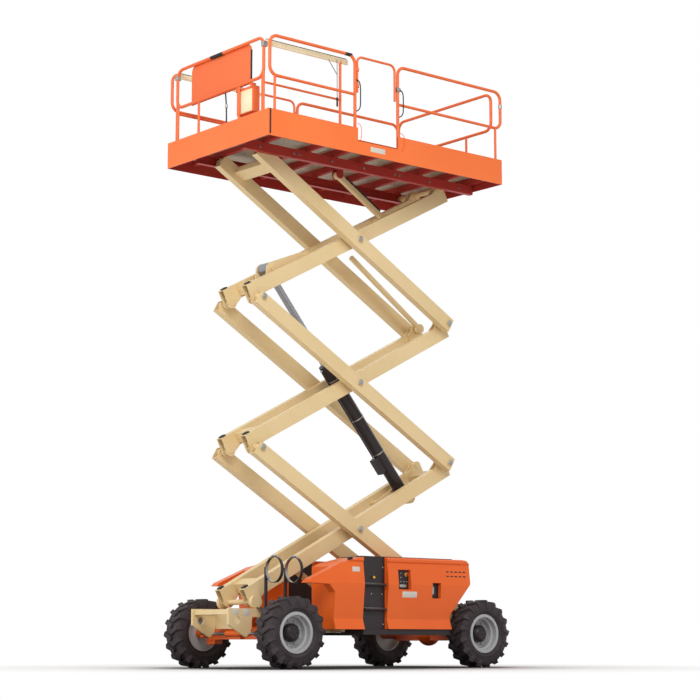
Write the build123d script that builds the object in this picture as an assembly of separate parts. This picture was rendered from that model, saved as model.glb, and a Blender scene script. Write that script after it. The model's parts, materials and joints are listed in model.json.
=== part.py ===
from build123d import *
import os
from math import atan2, cos, degrees, radians, sin

# Rough-terrain scissor lift, shown partly raised.
# Frame: +X towards the steered end, +Y to the operator's left, +Z up, on the ground mid-machine.

# Fits between pieces
running_clearance = 0.05
seat_gap = 0.3
part_gap = 6
weld_lap = 1

# Wheels
wheel_base = 2976
wheel_track = 1828
tyre_diameter = 833
tyre_width = 310
tyre_shoulder = 45
crown_half = 122
bead_half = 112
bead_rise = 25
sidewall_step = 55
sidewall_drop = 110
sidewall_tuck = 10
lug_count = 17
lug_depth = 28
lug_width = 58
lug_skew = 26
lug_centre = 62
lug_overlap = 10
lug_root = 40
lug_foot = 60
rim_diameter = 430
rim_flange = 24
rim_wall = 12
rim_step = 34
rim_step_depth = 52
rim_dish = 125
disc_thickness = 18
hub_radius = 105
hub_shoulder = 50
hub_nose_radius = 84
hub_nose = 90
nut_count = 9
nut_circle = 143
nut_radius = 15
nut_height = 20

# Axles and steering
kingpin_y = 640
kingpin_radius = 28
kingpin_stub = 8
knuckle_height = 180
knuckle_radius = 52
fork_reach = 62
fork_plate = 36
fork_gap = 3
fork_half = 55
fork_cheek = 60
axle_height = 150
axle_depth = 150
spindle_radius = 60
steer_arm_length = 123
steer_arm_height = 24
steer_arm_half = 26
steer_arm_end = 30
steer_arm_drop = 35
steer_rod_radius = 16
steer_rod_end = 25
steer_barrel_radius = 36
steer_barrel_half = 150
steer_saddle = 40
axle_pivot_radius = 40
axle_pivot_z = 540
pivot_rim = 75
pivot_block_half = 110
pivot_overhang = 40
pivot_plate = 30
rear_beam_half = 85
differential_radius = 150
axle_pad_half = 70
axle_pad_rise = 130
axle_notch_half = 150

# Chassis
frame_top = 700
beam_top = 600
frame_bottom = 430
beam_inner_y = 292
beam_outer_y = 502
track_width = 66
nose_outer_y = 378
nose_plate = 32
nose_flange = 24
frame_rear_x = -1971
frame_front_x = 1971
nose_start_x = 860
nose_lap = 100
nose_face = 190
nose_toe_back = 250
nose_toe_drop = 335
nose_heel_back = 320
nose_heel_drop = 275
nose_root = 140
tow_hole_radius = 45
tow_hole_back = 125
tow_hole_drop = 140
cross_member = 100
rear_bar = 90
rear_bar_rise = 60
front_bar = 60
front_bar_back = 30
front_bar_drop = 10
link_ear = 18
link_ear_half = 60
outrigger_x = 530
outrigger_width = 60
outrigger_reach = 200

# Covers beside the frame
cover_inner_y = 512
cover_outer_y = 965
cover_bottom = 460
cover_top = 1325
cover_tuck = 40
cover_tuck_z = 585
cover_belt_z = 1000
cover_lean = 30
cover_lip = 14
cover_lip_z = 1258
cover_edge = 22
cover_nose_top = 1035
cover_nose_back = 40
cover_front_x = 1270
cover_crest_x = 750
cover_crest_drop = 85
cover_brow = 10
fender_inner_y = 838
arch_edge_x = 850
arch_corner = 90
arch_bottom = 985
ladder_front_x = 400
ladder_rear_x = 30
ladder_set_back = 70
rung_heights = (696, 990)
rung_inset = 20
rung_half = 16
rung_proud = 56
sill_bottom = 398
sill_set_back = 30
box_rear_x = -1330
box_foot_x = -1010
box_foot_top = 640
box_wall = 14
box_shoulder = 60
box_heel_drop = 300
door_depth = 70
control_recess = (-340, -140, 940, 1180)
latch_recess = (-830, -690, 840, 1030)
recess_depth = 24
engine_rear_x = -940
engine_front_x = -160
engine_height = 560
engine_head_inset = 120
engine_head_height = 110
engine_outer_inset = 110
engine_inner_inset = 60
filter_radius = 80
filter_inset = 60

# Gas bottle cradle
ring_radius = 155
ring_wall = 8
ring_width = 38
ring_places = (1525, 1235)
ring_y = 660
ring_z = 1148
cradle_post = 22
cradle_post_half = 17
cradle_post_lap = 30
cradle_foot = 12
cradle_foot_end = 40
cradle_foot_lap = 16

# Scissor stack
stack_x = 36
arm_length = 3524
arm_angle = 31.07
base_pin_z = 779
inner_arm_y = 240
outer_arm_y = 385
tube_width = 100
tube_depth = 180
tube_wall = 9
inner_lean = 105
outer_drop = 34
end_chamfer = 55
pin_radius = 32
pin_boss = 14
pin_head_radius = 38
pin_head = 25
lug_radius = 62
lug_plate = 20
lug_nose = 55
lug_run = 260
lug_knee = 150
lug_toe = 40
tube_overrun = 60
link_pin_radius = 28
link_depth = 64
link_width = 60
link_eye_radius = 48
platform_roller_radius = 50
roller_width = 54
roller_side_gap = 7
roller_boss = 10
front_tie_near = 160
front_tie_far = 300
front_tie_low = 35
front_tie_high = 155
rear_tie_near = 90
rear_tie_far = 210
rear_tie_low = 125
rear_tie_high = 45
base_tie_near = 180
base_tie_far = 260
base_tie_low = 60
base_tie_high = 20
top_tie_near = 170
top_tie_far = 330
top_tie_low = 45
top_tie_high = 50
prop_length = 1430
prop_depth = 50
prop_near_y = 110
prop_far_y = 160
prop_rise = 3.5

# Lift cylinder
bracket_back = 560
bracket_drop = 183
barrel_radius = 82
barrel_length = 2080
barrel_wall = 14
barrel_foot = 60
gland_radius = 88
gland_length = 70
rod_radius = 46
rod_length = 2450
cylinder_pin_radius = 38
cylinder_eye_radius = 78
barrel_eye_width = 170
rod_eye_width = 180
bracket_plate = 22
bracket_web = 80
cylinder_pin_stub = 20
web_inset = 10
low_root = 20
low_heel = 420
low_heel_depth = 90
low_toe = 60
low_nose = 75
low_web_back = 50
low_web_root = 30
low_web_depth = 100
high_root = 30
high_toe = 230
high_head = 60
high_head_rise = 65
high_nose = 80
high_nose_rise = 55
high_heel = 620
high_heel_root = 40
high_heel_rise = 150
high_web_rise = 120
valve_start = 474
valve_end = 691
valve_reach = 150
valve_half = 45

# Platform
platform_front_x = 1951
platform_rear_x = -1878
platform_half_width = 1052
skirt_bottom_drop = 20
skirt_height = 329
skirt_plate = 12
deck_rise = 159
deck_plate = 6
deck_edge = 62
deck_margin = 92
channel_wall = 8
channel_end = 60
channel_lift = 14
cross_beam_width = 60
cross_beam_places = (-1820, -1400, -950, -500, 36, 480, 900, 1560, 1840)
gate_front_x = 575
gate_rear_x = -75
gate_sill = 165

# Guard rails
rail_height = 1066
mid_rail_height = 575
tube_radius = 20
mid_tube = 18
post_tube = 16
rail_corner = 110
rail_inset = 32
rail_stub = 60
gate_post_gap = 4
rail_front_x = 1917
rail_rear_x = -1890
front_low_post_x = 1840
rear_low_post_x = -1794
back_rail_x = -1818
back_rail_edge = 132
back_post_y = 443
gate_tube = 15
gate_corner = 80
gate_hinge_inset = 12
gate_latch_inset = 26
gate_leg_rise = 32
collar_wall = 9
collar_height = 45
collar_half = 10
collar_low = 60
collar_high = 190

# Roll-out extension
extension_back_x = 640
extension_plate = 22
extension_edge = 65
front_rail_edge = 25
front_post_edge = 20
front_post_places = (-431, 410)
back_post_x = 736
strip_height = 44
strip_thickness = 14
strip_drop = 70
side_tube = 17
low_side_tube = 14
guard_half_width = 620
guard_thickness = 14
guard_corner = 90
control_y = (340, 670)
control_depth = 95
control_height = 320
control_strap = 40
control_strap_drop = 28

deck_half = platform_half_width - deck_edge
back_rail_half = platform_half_width - back_rail_edge
extension_half = deck_half - extension_edge
front_rail_half = extension_half - front_rail_edge
front_post_half = front_rail_half - front_post_edge
front_post_y = (-front_post_half, *front_post_places, front_post_half)
half_base = wheel_base / 2
half_track = wheel_track / 2
tyre_radius = tyre_diameter / 2
arm_rise = arm_length * sin(radians(arm_angle))
arm_run = arm_length * cos(radians(arm_angle))
front_pin_x = stack_x + arm_run / 2
rear_pin_x = stack_x - arm_run / 2
top_pin_z = base_pin_z + 3 * arm_rise
base_roller_radius = base_pin_z - frame_top - seat_gap
deck_top = top_pin_z + deck_rise
skirt_bottom = top_pin_z - skirt_bottom_drop
skirt_top = skirt_bottom + skirt_height
rail_top = deck_top + rail_height
mid_rail = deck_top + mid_rail_height

parts = {}


def block(x0, x1, y0, y1, z0, z1):
    size = (abs(x1 - x0), abs(y1 - y0), abs(z1 - z0))
    centre = ((x0 + x1) / 2, (y0 + y1) / 2, (z0 + z1) / 2)
    return Pos(*centre) * Box(*size)


def round_x(y, z, x0, x1, radius):
    return Pos((x0 + x1) / 2, y, z) * Rot(0, 90, 0) * Cylinder(radius, abs(x1 - x0))


def round_y(x, z, y0, y1, radius):
    return Pos(x, (y0 + y1) / 2, z) * Rot(90, 0, 0) * Cylinder(radius, abs(y1 - y0))


def round_z(x, y, z0, z1, radius):
    return Pos(x, y, (z0 + z1) / 2) * Cylinder(radius, abs(z1 - z0))


def side_face(points):
    return make_face(Polyline(*[(x, 0, z) for x, z in points], close=True))


def side_prism(points, y0, y1):
    """Extrude an outline of (x, z) points from y0 to y1."""
    return Pos(0, y0, 0) * extrude(side_face(points), amount=y1 - y0, dir=(0, 1, 0))


def end_prism(points, x0, x1):
    """Extrude a section of (y, z) points from x0 to x1."""
    face = make_face(Polyline(*[(x0, y, z) for y, z in points], close=True))
    return extrude(face, amount=x1 - x0, dir=(1, 0, 0))


def both_sides(solid):
    return [solid, mirror(solid, about=Plane.XZ)]


def fuse(pieces):
    return pieces[0].fuse(*pieces[1:]) if len(pieces) > 1 else pieces[0]


def bent_tube(points, radius, corner):
    path = FilletPolyline(*points, radius=corner) if len(points) > 2 else Line(*points)
    section = Plane(origin=path @ 0, z_dir=path % 0) * Circle(radius)
    return sweep(section, path)


def turned(points):
    """Turn a profile of (radius, y) points about the wheel's axle."""
    return revolve(make_face(Polyline(*points, close=True)), Axis.Y)


# Tyre: a carcass with slanted tread bars, staggered left and right
def carcass():
    half = tyre_width / 2 - sidewall_tuck
    bead = rim_diameter / 2
    crown = tyre_radius - lug_depth
    outer = [
        (bead, bead_half), (bead + bead_rise, bead_half), (bead + sidewall_step, half - sidewall_tuck),
        (crown - sidewall_drop, half), (crown - tyre_shoulder, half - sidewall_tuck / 2), (crown, crown_half),
    ]
    inner = [(r, -y) for r, y in reversed(outer)]
    return turned(outer + inner)


def tread_bar():
    """One bar at the top of the wheel, from mid-tread out over the shoulder."""
    lean = radians(lug_skew)
    end_y = (tyre_width / 2 - lug_centre - lug_width / 2 * sin(lean)) / cos(lean)
    start_y = -lug_centre - lug_overlap
    crown = tyre_radius - lug_depth
    outline = [
        (start_y, crown - lug_root), (start_y, tyre_radius + lug_root), (crown_half - lug_centre, tyre_radius + lug_root),
        (end_y, tyre_radius - tyre_shoulder), (end_y, crown - lug_foot), (end_y - lug_depth, crown - lug_foot),
    ]
    bar = Pos(0, lug_centre, 0) * Rot(0, 0, lug_skew) * end_prism(outline, -lug_width / 2, lug_width / 2)
    return bar & Rot(90, 0, 0) * Cylinder(tyre_radius, tyre_width)


def tyre():
    bars = []
    pitch = 360 / lug_count
    near_bar, far_bar = both_sides(tread_bar())
    for step in range(lug_count):
        bars.append(Rot(0, step * pitch, 0) * near_bar)
        bars.append(Rot(0, (step + 0.5) * pitch, 0) * far_bar)
    return carcass().fuse(*bars)


# Rim: a two-step dish with its planetary hub and wheel nuts
def rim():
    bead = rim_diameter / 2
    disc_y = bead_half - rim_dish
    step_y = bead_half - rim_step_depth
    shell = turned([
        (bead - rim_wall, -bead_half), (bead, -bead_half), (bead, bead_half), (bead + rim_flange, bead_half),
        (bead + rim_flange, bead_half + rim_wall), (bead - rim_wall, bead_half + rim_wall),
        (bead - rim_wall, step_y), (bead - rim_step, step_y - rim_wall), (bead - rim_step, disc_y),
        (0, disc_y), (0, disc_y - disc_thickness), (bead - rim_wall, disc_y - disc_thickness),
    ])
    hub = turned([
        (0, disc_y), (hub_radius, disc_y), (hub_radius, disc_y + hub_shoulder),
        (hub_nose_radius, disc_y + hub_nose - rim_wall), (hub_nose_radius - rim_wall, disc_y + hub_nose),
        (0, disc_y + hub_nose),
    ])
    nut = extrude(RegularPolygon(nut_radius, 6), amount=nut_height)
    nuts = [Pos(0, disc_y, 0) * Rot(-90, 0, 0) * place * nut for place in PolarLocations(nut_circle, nut_count)]
    return shell.fuse(hub, *nuts)


one_tyre = tyre()
one_rim = rim()
wheel_places = [
    # name, x sign, y sign
    ("front_left", 1, 1),
    ("front_right", 1, -1),
    ("rear_left", -1, 1),
    ("rear_right", -1, -1),
]
for wheel_name, end, side in wheel_places:
    place = Pos(end * half_base, side * half_track, tyre_radius)
    parts[f"tyre_{wheel_name}"] = place * one_tyre
    parts[f"rim_{wheel_name}"] = place * (one_rim if side > 0 else mirror(one_rim, about=Plane.XZ))

# Front axle: a boxed beam with forked ends, a pivot block, and the steering cylinder on its front face
rim_back_y = half_track + bead_half - rim_dish - disc_thickness
fork_z = knuckle_height / 2 + fork_gap
beam_end_y = kingpin_y - fork_reach - fork_cheek / 2
steer_rod_x = half_base + steer_arm_length
steer_arm_z = tyre_radius - steer_arm_drop
steer_rod_z = steer_arm_z + steer_arm_height / 2 + seat_gap + steer_rod_radius
pivot_span = axle_depth / 2 + pivot_overhang
axle_low = tyre_radius - axle_height / 2
axle_high = tyre_radius + axle_height / 2
axle_face_x = half_base + axle_depth / 2

axle_pieces = [block(half_base - axle_depth / 2, axle_face_x, -beam_end_y, beam_end_y, axle_low, axle_high)]
axle_pieces.append(block(half_base - pivot_span, half_base + pivot_span, -pivot_block_half, pivot_block_half,
                         axle_low, axle_pivot_z + pivot_rim))
axle_pieces.append(round_y(steer_rod_x, steer_rod_z, -steer_barrel_half, steer_barrel_half, steer_barrel_radius))
for side in (1, -1):
    cheek_y = side * (beam_end_y - fork_cheek)
    pin_y = side * kingpin_y
    axle_pieces.append(block(half_base - fork_half, half_base + fork_half, cheek_y, side * beam_end_y,
                             tyre_radius - fork_z - fork_plate, tyre_radius + fork_z + fork_plate))
    for level in (1, -1):
        ear_near = tyre_radius + level * fork_z
        ear_far = tyre_radius + level * (fork_z + fork_plate)
        axle_pieces.append(block(half_base - fork_half, half_base + fork_half, cheek_y, pin_y, ear_near, ear_far))
        axle_pieces.append(round_z(half_base, pin_y, ear_near, ear_far, fork_half))
    saddle_y = side * (steer_barrel_half - steer_saddle)
    axle_pieces.append(block(half_base, steer_rod_x, saddle_y, side * steer_barrel_half,
                             steer_rod_z - steer_rod_radius, steer_rod_z + steer_rod_radius))
front_axle = fuse(axle_pieces)
for side in (1, -1):
    front_axle -= round_z(half_base, side * kingpin_y, 0, tyre_diameter, kingpin_radius + running_clearance)
front_axle -= round_x(0, axle_pivot_z, 0, frame_front_x, axle_pivot_radius + running_clearance)
front_axle -= round_y(steer_rod_x, steer_rod_z, -half_track, half_track, steer_rod_radius + running_clearance)
parts["front_axle"] = front_axle

for side, knuckle_name in ((1, "left"), (-1, "right")):
    pin_y = side * kingpin_y
    hub_y = side * (rim_back_y - seat_gap)
    body = round_z(half_base, pin_y, tyre_radius - knuckle_height / 2, tyre_radius + knuckle_height / 2, knuckle_radius)
    pin_half = fork_z + fork_plate + kingpin_stub
    body += round_z(half_base, pin_y, tyre_radius - pin_half, tyre_radius + pin_half, kingpin_radius)
    body += round_y(half_base, tyre_radius, pin_y, hub_y, spindle_radius)
    body += block(half_base, steer_rod_x, pin_y - steer_arm_half, pin_y + steer_arm_half,
                  steer_arm_z - steer_arm_height / 2, steer_arm_z + steer_arm_height / 2)
    body += round_z(steer_rod_x, pin_y, steer_arm_z - steer_arm_height / 2, steer_arm_z + steer_arm_height / 2,
                    steer_arm_end)
    parts[f"knuckle_{knuckle_name}"] = body
rod_half = kingpin_y + steer_rod_end
parts["tie_rod"] = round_y(steer_rod_x, steer_rod_z, -rod_half, rod_half, steer_rod_radius)

# Rear axle: a boxed beam with its differential, bolted under two pads
pad_top = tyre_radius + axle_pad_rise
rear_axle = block(-half_base - rear_beam_half, -half_base + rear_beam_half, -beam_end_y, beam_end_y,
                  tyre_radius - rear_beam_half, tyre_radius + rear_beam_half)
rear_axle += round_y(-half_base, tyre_radius, -rim_back_y + seat_gap, rim_back_y - seat_gap, spindle_radius)
rear_axle += Pos(-half_base, 0, tyre_radius) * Sphere(differential_radius)
for side in (1, -1):
    rear_axle += block(-half_base - axle_pad_half, -half_base + axle_pad_half, side * beam_inner_y, side * beam_outer_y,
                       tyre_radius, pad_top)
parts["rear_axle"] = rear_axle

# Chassis frame: two boxed beams, a plated nose with tow holes, cross members, axle pivot and link pivot
nose_inner_y = nose_outer_y - nose_plate
nose = side_prism(
    [(nose_start_x, frame_top), (frame_front_x, frame_top), (frame_front_x, frame_top - nose_face),
     (frame_front_x - nose_toe_back, frame_top - nose_toe_drop),
     (frame_front_x - nose_heel_back, frame_top - nose_heel_drop),
     (half_base + nose_root, beam_top), (nose_start_x, beam_top)],
    nose_inner_y, nose_outer_y,
)
nose -= round_y(frame_front_x - tow_hole_back, frame_top - tow_hole_drop, 0, platform_half_width, tow_hole_radius)
nose += block(nose_start_x, frame_front_x - rear_bar, beam_inner_y, nose_outer_y, frame_top - nose_flange, frame_top)
beam = block(frame_rear_x, nose_start_x + nose_lap, beam_inner_y, beam_outer_y, frame_bottom, beam_top)
beam += block(frame_rear_x, ladder_rear_x, beam_outer_y - track_width, beam_outer_y, beam_top, frame_top)
beam -= block(-half_base - axle_notch_half, -half_base + axle_notch_half, 0, platform_half_width, 0, pad_top)
frame_pieces = both_sides(nose.fuse(beam))
plate_near = pivot_span + part_gap
plate_far = plate_near + pivot_plate
half_cross = cross_member / 2
cross_members = [
    # rear x, front x, half width, bottom z, top z
    (frame_rear_x, frame_rear_x + rear_bar, beam_inner_y, frame_bottom + rear_bar_rise, beam_top),
    (box_foot_x / 2 - half_cross, box_foot_x / 2 + half_cross, beam_inner_y, frame_bottom, beam_top),
    (stack_x - half_cross, stack_x + half_cross, beam_inner_y, frame_bottom, beam_top),
    (nose_start_x - half_cross, nose_start_x + half_cross, beam_inner_y, frame_bottom, beam_top),
    (frame_front_x - front_bar_back - front_bar, frame_front_x - front_bar_back, nose_inner_y,
     frame_top - front_bar_drop - front_bar, frame_top - front_bar_drop),
    (half_base - plate_far, half_base - plate_near, nose_inner_y, axle_pivot_z - pivot_rim, frame_top - nose_flange),
    (half_base + plate_near, half_base + plate_far, nose_inner_y, axle_pivot_z - pivot_rim, frame_top - nose_flange),
]
for rear_x, front_x, half_width, low_z, high_z in cross_members:
    frame_pieces.append(block(rear_x, front_x, -half_width, half_width, low_z, high_z))
frame_pieces.append(round_x(0, axle_pivot_z, half_base - plate_far, half_base + plate_far, axle_pivot_radius))
link_ear_y = link_width / 2 + part_gap
for side in (1, -1):
    near_y = side * link_ear_y
    far_y = side * (link_ear_y + link_ear)
    frame_pieces.append(block(stack_x - link_ear_half, stack_x + link_ear_half, near_y, far_y, beam_top, base_pin_z))
    frame_pieces.append(round_y(stack_x, base_pin_z, near_y, far_y, link_ear_half))
    for x in (-outrigger_x, outrigger_x):
        frame_pieces.append(block(x - outrigger_width / 2, x + outrigger_width / 2, side * beam_outer_y,
                                  side * (cover_inner_y + outrigger_reach), frame_bottom, cover_bottom))
frame_pieces.append(round_y(stack_x, base_pin_z, -link_ear_y - weld_lap, link_ear_y + weld_lap, link_pin_radius))
parts["chassis_frame"] = fuse(frame_pieces)

# Side covers share one pressed section: flared foot, belt line, leaning top with a lip
door_back_y = cover_outer_y - door_depth
lean_y = cover_outer_y - cover_lean
cover_skin = [
    (cover_outer_y, cover_bottom), (cover_outer_y - cover_tuck, cover_tuck_z), (cover_outer_y, cover_belt_z),
    (lean_y, cover_lip_z), (lean_y + cover_lip, cover_lip_z + cover_lip), (lean_y + cover_lip, cover_top - cover_edge),
    (lean_y + cover_lip - cover_edge, cover_top),
]
front_outline = [
    (ladder_front_x, cover_bottom), (arch_edge_x, cover_bottom), (arch_edge_x, arch_bottom - arch_corner),
    (arch_edge_x + arch_corner, arch_bottom), (cover_front_x, arch_bottom + cover_brow),
    (cover_front_x - cover_nose_back, cover_nose_top), (cover_crest_x, cover_top - cover_crest_drop),
    (ladder_front_x + cover_edge, cover_top - cover_brow), (ladder_front_x, cover_top - cover_brow),
]
box_outline = [
    (ladder_rear_x, cover_bottom), (ladder_rear_x, cover_top), (box_rear_x + box_shoulder, cover_top),
    (box_rear_x, cover_top - box_shoulder), (box_rear_x, cover_top - box_heel_drop), (box_foot_x, box_foot_top),
    (box_foot_x, cover_bottom),
]
cover_section = cover_skin + [(cover_inner_y, cover_top), (cover_inner_y, cover_bottom)]
door_section = cover_skin + [(door_back_y + seat_gap, cover_top), (door_back_y + seat_gap, cover_bottom)]

front_cover = side_prism(front_outline, cover_inner_y, cover_outer_y) & end_prism(
    cover_section, ladder_front_x, cover_front_x)
front_cover -= block(arch_edge_x, cover_front_x, cover_inner_y, fender_inner_y, cover_bottom, cover_top)

ladder_face_y = cover_outer_y - ladder_set_back
ladder = block(ladder_rear_x, ladder_front_x, cover_inner_y, ladder_face_y, sill_bottom, cover_top)
ladder += block(box_foot_x, ladder_front_x, cover_inner_y + outrigger_reach + part_gap, cover_outer_y - sill_set_back,
                sill_bottom, cover_bottom)
for rung_z in rung_heights:
    rung_y = ladder_face_y + rung_proud - rung_half
    ladder += block(ladder_rear_x + rung_inset, ladder_front_x - rung_inset, ladder_face_y - rung_inset, rung_y,
                    rung_z - rung_half, rung_z + rung_half)
    ladder += round_x(rung_y, rung_z, ladder_rear_x + rung_inset, ladder_front_x - rung_inset, rung_half)

box_face = side_face(box_outline)
box_solid = side_prism(box_outline, cover_inner_y, door_back_y)
hollow = Pos(0, cover_inner_y + box_wall, 0) * extrude(
    offset(box_face, amount=-box_wall), amount=cover_outer_y, dir=(0, 1, 0))
side_box = box_solid - hollow
door_blank = Pos(0, door_back_y, 0) * extrude(offset(box_face, amount=-part_gap), amount=door_depth, dir=(0, 1, 0))
plain_door = door_blank & end_prism(door_section, box_rear_x, ladder_rear_x)
recess_floor = lean_y - recess_depth
plain_door -= block(latch_recess[0], latch_recess[1], recess_floor, cover_outer_y, latch_recess[2], latch_recess[3])
control_door = plain_door - block(control_recess[0], control_recess[1], recess_floor, cover_outer_y,
                                  control_recess[2], control_recess[3])
for piece_name, shape in (("cover_front", front_cover), ("ladder", ladder), ("side_box", side_box)):
    left_piece, right_piece = both_sides(shape)
    parts[f"{piece_name}_left"] = left_piece
    parts[f"{piece_name}_right"] = right_piece
parts["door_left"] = control_door
parts["door_right"] = mirror(plain_door, about=Plane.XZ)

# Engine in the right box: crankcase, cylinder head and air filter
engine_out = -door_back_y + engine_outer_inset
engine_in = -cover_inner_y - engine_inner_inset
engine_low = cover_bottom + box_wall
engine_high = engine_low + engine_height
engine = block(engine_rear_x, engine_front_x, engine_out, engine_in, engine_low, engine_high)
engine += block(engine_rear_x + engine_head_inset, engine_front_x - engine_head_inset, engine_out + engine_head_inset / 2,
                engine_in - engine_head_inset / 2, engine_high, engine_high + engine_head_height)
engine += round_x((engine_out + engine_in) / 2, engine_high + engine_head_height, engine_rear_x + filter_inset,
                  engine_front_x - filter_inset, filter_radius)
parts["engine_block"] = engine

# Gas bottle cradle at the front left: two posts carrying two open strap rings
post_outer_y = ring_y - ring_radius + ring_wall / 2
cradle_pieces = []
for x in ring_places:
    band = Cylinder(ring_radius, ring_width) - Cylinder(ring_radius - ring_wall, ring_width)
    cradle_pieces.append(Pos(x, ring_y, ring_z) * Rot(0, 90, 0) * band)
    cradle_pieces.append(block(x - cradle_post_half, x + cradle_post_half, post_outer_y - cradle_post, post_outer_y,
                               frame_top, ring_z + cradle_post_lap))
cradle_pieces.append(block(ring_places[1] - cradle_foot_end, ring_places[0] + cradle_foot_end,
                           nose_outer_y - cradle_foot_lap, post_outer_y, frame_top, frame_top + cradle_foot))
parts["bottle_cradle"] = fuse(cradle_pieces)


# Scissor arms, drawn along their own pin line: s along the arm, n square to it and up
def arm_frame(stage, inner):
    low_z = base_pin_z + (stage - 1) * arm_rise
    c, s = cos(radians(arm_angle)), sin(radians(arm_angle))
    if inner:
        return Plane(origin=(front_pin_x, 0, low_z), x_dir=(-c, 0, s), z_dir=(0, 1, 0)).location
    return Plane(origin=(rear_pin_x, 0, low_z), x_dir=(c, 0, s), z_dir=(0, -1, 0)).location


half_tube = tube_width / 2
inner_face = inner_arm_y - half_tube
pin_places = (0, arm_length / 2, arm_length)


def box_tube(centre_y, low_offset, high_offset):
    """A square-ended tube whose centre line passes low_offset and high_offset off the two end pins."""
    length = arm_length + 2 * tube_overrun
    tilt = degrees(atan2(high_offset - low_offset, arm_length))
    outside = Box(length, tube_depth, tube_width)
    inside = Box(length, tube_depth - 2 * tube_wall, tube_width - 2 * tube_wall)
    return Pos(arm_length / 2, (low_offset + high_offset) / 2, centre_y) * Rot(0, 0, tilt) * (outside - inside)


def inner_arm():
    """One inner tube: the pin hangs below it at the low end and stands above it at the high end."""
    tube = box_tube(inner_arm_y, inner_lean, -inner_lean)
    for s, up in ((0, 1), (arm_length, -1)):
        outline = Polyline(
            (s - up * lug_nose, 0), (s - up * lug_nose, up * inner_lean), (s + up * lug_run, up * inner_lean),
            (s + up * lug_knee, 0), (s + up * lug_toe, -up * lug_toe), close=True,
        )
        lug_face = make_face(outline) + Pos(s, 0) * Circle(lug_radius)
        for low_side in (inner_face, inner_face + tube_width - lug_plate):
            tube += Pos(0, 0, low_side) * extrude(lug_face, amount=lug_plate)
    for s in pin_places:
        tube += round_z(s, 0, inner_face, inner_face + tube_width, pin_radius + pin_boss)
    for s in pin_places:
        tube -= round_z(s, 0, 0, 2 * inner_arm_y, pin_radius + running_clearance)
    return tube


def outer_arm(stage):
    """One outer tube with its welded pins; the end pins of the stack carry rollers instead."""
    tube = box_tube(outer_arm_y, 0, -outer_drop)
    inner_side = outer_arm_y - half_tube
    outer_side = outer_arm_y + half_tube
    tip_s = arm_length + 2 * tube_overrun
    tip_n = tube_depth / 2
    tip = make_face(Polyline((tip_s - tube_overrun - end_chamfer, tip_n), (tip_s, tip_n),
                             (tip_s, tip_n - outer_drop - end_chamfer - tube_overrun), close=True))
    tube -= Pos(0, 0, inner_side) * extrude(tip, amount=tube_width)
    for s in pin_places:
        base_end = stage == 1 and s == 0
        top_end = stage == 3 and s == arm_length
        tube += round_z(s, 0, inner_side, outer_side, pin_radius + pin_boss)
        if base_end or top_end:
            radius = base_roller_radius if base_end else platform_roller_radius
            roller_near = outer_side + roller_side_gap
            tube += round_z(s, 0, outer_side, roller_near, pin_radius + roller_boss)
            tube += round_z(s, 0, roller_near, roller_near + roller_width, radius)
        else:
            tube += round_z(s, 0, inner_face - part_gap, outer_side, pin_radius)
            tube += round_z(s, 0, outer_side, outer_side + pin_head, pin_head_radius)
            tube += round_z(s, 0, inner_face + tube_width + part_gap, inner_side, pin_radius + pin_boss)
    return tube


quarter = arm_length / 4
barrel_pin_s = arm_length - bracket_back
rod_pin_s = bracket_back
barrel_eye_gap = barrel_eye_width / 2 + part_gap
rod_eye_gap = rod_eye_width / 2 + part_gap
base_roller_y = inner_arm_y + half_tube + roller_side_gap
top_roller_y = outer_arm_y + half_tube + roller_side_gap


def tie_plate(s0, s1, n0, n1, half_width):
    return block(s0, s1, n0, n1, -half_width, half_width)


def roller_shaft(s, roller_y, radius):
    far_y = roller_y + roller_width
    shaft = round_z(s, 0, -far_y, far_y, pin_radius)
    return shaft.fuse(round_z(s, 0, roller_y, far_y, radius), round_z(s, 0, -far_y, -roller_y, radius))


front_tie = tie_plate(front_tie_near, front_tie_far, front_tie_low, front_tie_high, inner_face)
rear_tie = tie_plate(arm_length - rear_tie_far, arm_length - rear_tie_near, -rear_tie_low, -rear_tie_high, inner_face)
outer_gap = outer_arm_y - half_tube
cross = {
    "a1": [roller_shaft(0, base_roller_y, base_roller_radius), front_tie, rear_tie,
           round_z(quarter, 0, -inner_face, inner_face, link_pin_radius)],
    "a2": [front_tie, rear_tie],
    "a3": [roller_shaft(arm_length, top_roller_y, platform_roller_radius), front_tie,
           round_z(3 * quarter, 0, -inner_face, inner_face, link_pin_radius)],
    "b1": [tie_plate(base_tie_near, base_tie_far, -base_tie_low, base_tie_high, outer_gap)],
    "b3": [tie_plate(arm_length - top_tie_far, arm_length - top_tie_near, -top_tie_low, top_tie_high, outer_gap)],
}


# The cylinder's ends: plates below A1 near its high end and above A3 near its low end,
# each tied to the tube beside it by webs, so that the cylinder can swing between them
def bracket_side(outline, s, n, eye_gap, side, webs):
    face = make_face(Polyline(*outline, close=True)) + Pos(s, n) * Circle(cylinder_eye_radius)
    plate_near = side * eye_gap
    plate_far = side * (eye_gap + bracket_plate)
    pieces = [Pos(0, 0, min(plate_near, plate_far)) * extrude(face, amount=bracket_plate)]
    for web_s, web_low, web_high in webs:
        pieces.append(block(web_s, web_s + bracket_web, web_low, web_high, plate_far, side * inner_face))
    return pieces


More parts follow.
